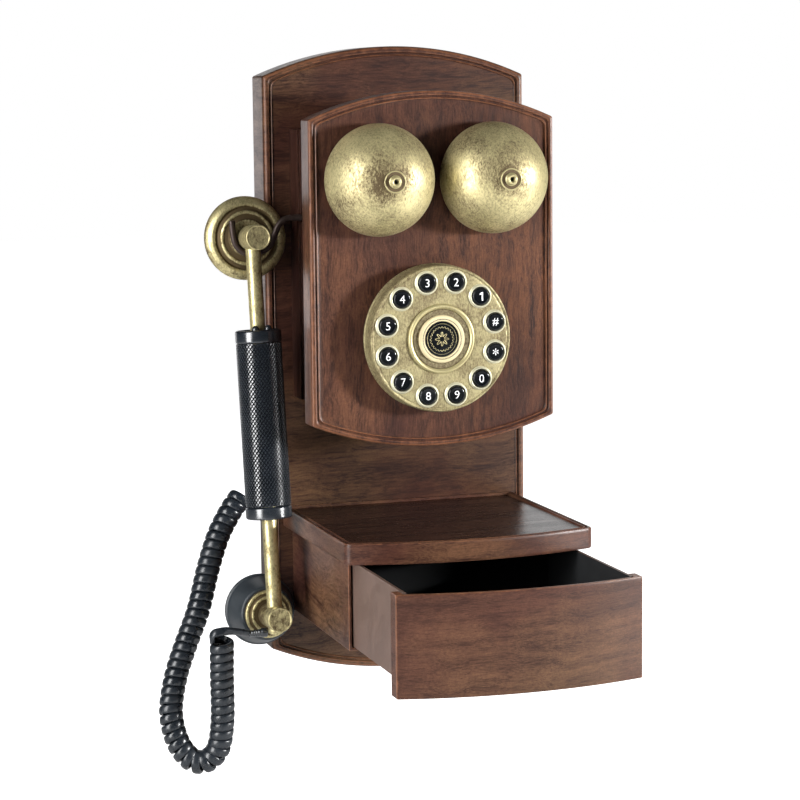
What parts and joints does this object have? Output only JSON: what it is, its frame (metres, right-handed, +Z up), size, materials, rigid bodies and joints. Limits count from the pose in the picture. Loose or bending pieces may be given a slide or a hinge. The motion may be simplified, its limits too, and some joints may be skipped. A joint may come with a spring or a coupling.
{
  "type": "wall telephone",
  "caption": "Arched wooden wall telephone with paired gongs, a dial-shaped push-button keypad, a hook-hung handset on a curly cord and a bow-fronted drawer.",
  "frame": {"origin": "centre of the backboard's rear face, where it meets the wall", "axes": "+Z up; the wall is the plane Y = 0 and the telephone stands out of it towards -Y; +X is to the right seen from the front"},
  "size_m": [0.2231, 0.233, 0.4023],
  "materials": {
    "wood": "satin dark red-brown lacquer with fine upright streaks",
    "case": "smooth dark brown",
    "brass": "antique brass, speckled, polished edges",
    "steel": "plated",
    "black_gloss": "glossy black",
    "grip_black": "glossy black, diamond knurled",
    "black_matte": "matte black",
    "cream": "cream enamel",
    "bronze": "dark bronze, satin",
    "circuit_board": "green solder mask",
    "rubber": "matte grey silicone",
    "cord": "satin black, coiled"
  },
  "bodies": {
    "wall_unit": {"backboard": "wood", "front_panel": "wood", "shelf": "wood", "housing": "case", "drawer_housing": "case", "gong_left": "brass", "gong_right": "brass", "gong_screw_left": "brass", "gong_screw_right": "brass", "dial_face": "brass", "dial_centre_ring": "brass", "keyhole_hanger_left": "steel", "keyhole_hanger_right": "steel", "gong_post_left": "steel", "gong_post_right": "steel", "hook_pin": "steel", "medallion_disc": "black_gloss", "hook_bracket": "black_matte", "hook_switch": "black_matte", "ringer": "black_matte", "handset_jack": "black_matte", "line_jack": "black_matte", "cord_plug": "black_matte", "medallion_ring": "cream", "main_board": "circuit_board", "keypad_board": "circuit_board", "keypad_mat": "rubber", "curly_cord": "cord", "cord_lead_body": "cord"},
    "drawer": {"drawer_box": "case", "drawer_front": "wood"},
    "hook": {"hook_lever": "bronze"},
    "handset": {"upper_head": "brass", "upper_rod": "brass", "grip_collar_top": "black_gloss", "grip": "grip_black", "grip_collar_bottom": "black_gloss", "lower_rod": "brass", "lower_head": "brass", "ear_cup": "brass", "ear_cap": "black_gloss", "ear_speaker": "black_matte", "mouth_hub": "brass", "mouth_horn": "black_gloss", "microphone": "steel", "lead_relief": "black_gloss", "cord_lead_handset": "cord"},
    "key_1": {"button_1": "black_gloss"},
    "key_2": {"button_2": "black_gloss"},
    "key_3": {"button_3": "black_gloss"},
    "key_4": {"button_4": "black_gloss"},
    "key_5": {"button_5": "black_gloss"},
    "key_6": {"button_6": "black_gloss"},
    "key_7": {"button_7": "black_gloss"},
    "key_8": {"button_8": "black_gloss"},
    "key_9": {"button_9": "black_gloss"},
    "key_star": {"button_star": "black_gloss"},
    "key_0": {"button_0": "black_gloss"},
    "key_hash": {"button_hash": "black_gloss"}
  },
  "joints": [
    {"name": "drawer_slide", "type": "slide", "parent": "wall_unit", "child": "drawer", "axis": [0, -1, 0], "range_m": [-0.079, 0.01]},
    {"name": "handset_lift", "type": "slide", "parent": "wall_unit", "child": "handset", "axis": [0, 0, 1], "range_m": [0, 0.022]},
    {"name": "hook_hinge", "type": "hinge", "parent": "wall_unit", "child": "hook", "pos_m": [-0.048, -0.0427, 0.0845], "axis": [0, 1, 0], "range_deg": [0, 8]},
    {"name": "press_1", "type": "slide", "parent": "wall_unit", "child": "key_1", "axis": [0, 1, 0], "range_m": [0, 0.0015], "stiffness_N_per_m": 400},
    {"name": "press_2", "type": "slide", "parent": "wall_unit", "child": "key_2", "axis": [0, 1, 0], "range_m": [0, 0.0015], "stiffness_N_per_m": 400},
    {"name": "press_3", "type": "slide", "parent": "wall_unit", "child": "key_3", "axis": [0, 1, 0], "range_m": [0, 0.0015], "stiffness_N_per_m": 400},
    {"name": "press_4", "type": "slide", "parent": "wall_unit", "child": "key_4", "axis": [0, 1, 0], "range_m": [0, 0.0015], "stiffness_N_per_m": 400},
    {"name": "press_5", "type": "slide", "parent": "wall_unit", "child": "key_5", "axis": [0, 1, 0], "range_m": [0, 0.0015], "stiffness_N_per_m": 400},
    {"name": "press_6", "type": "slide", "parent": "wall_unit", "child": "key_6", "axis": [0, 1, 0], "range_m": [0, 0.0015], "stiffness_N_per_m": 400},
    {"name": "press_7", "type": "slide", "parent": "wall_unit", "child": "key_7", "axis": [0, 1, 0], "range_m": [0, 0.0015], "stiffness_N_per_m": 400},
    {"name": "press_8", "type": "slide", "parent": "wall_unit", "child": "key_8", "axis": [0, 1, 0], "range_m": [0, 0.0015], "stiffness_N_per_m": 400},
    {"name": "press_9", "type": "slide", "parent": "wall_unit", "child": "key_9", "axis": [0, 1, 0], "range_m": [0, 0.0015], "stiffness_N_per_m": 400},
    {"name": "press_star", "type": "slide", "parent": "wall_unit", "child": "key_star", "axis": [0, 1, 0], "range_m": [0, 0.0015], "stiffness_N_per_m": 400},
    {"name": "press_0", "type": "slide", "parent": "wall_unit", "child": "key_0", "axis": [0, 1, 0], "range_m": [0, 0.0015], "stiffness_N_per_m": 400},
    {"name": "press_hash", "type": "slide", "parent": "wall_unit", "child": "key_hash", "axis": [0, 1, 0], "range_m": [0, 0.0015], "stiffness_N_per_m": 400}
  ],
  "couplings": [
    {"joint": "hook_hinge", "follows": "handset_lift", "rad_per_m": 6.3465}
  ]
}
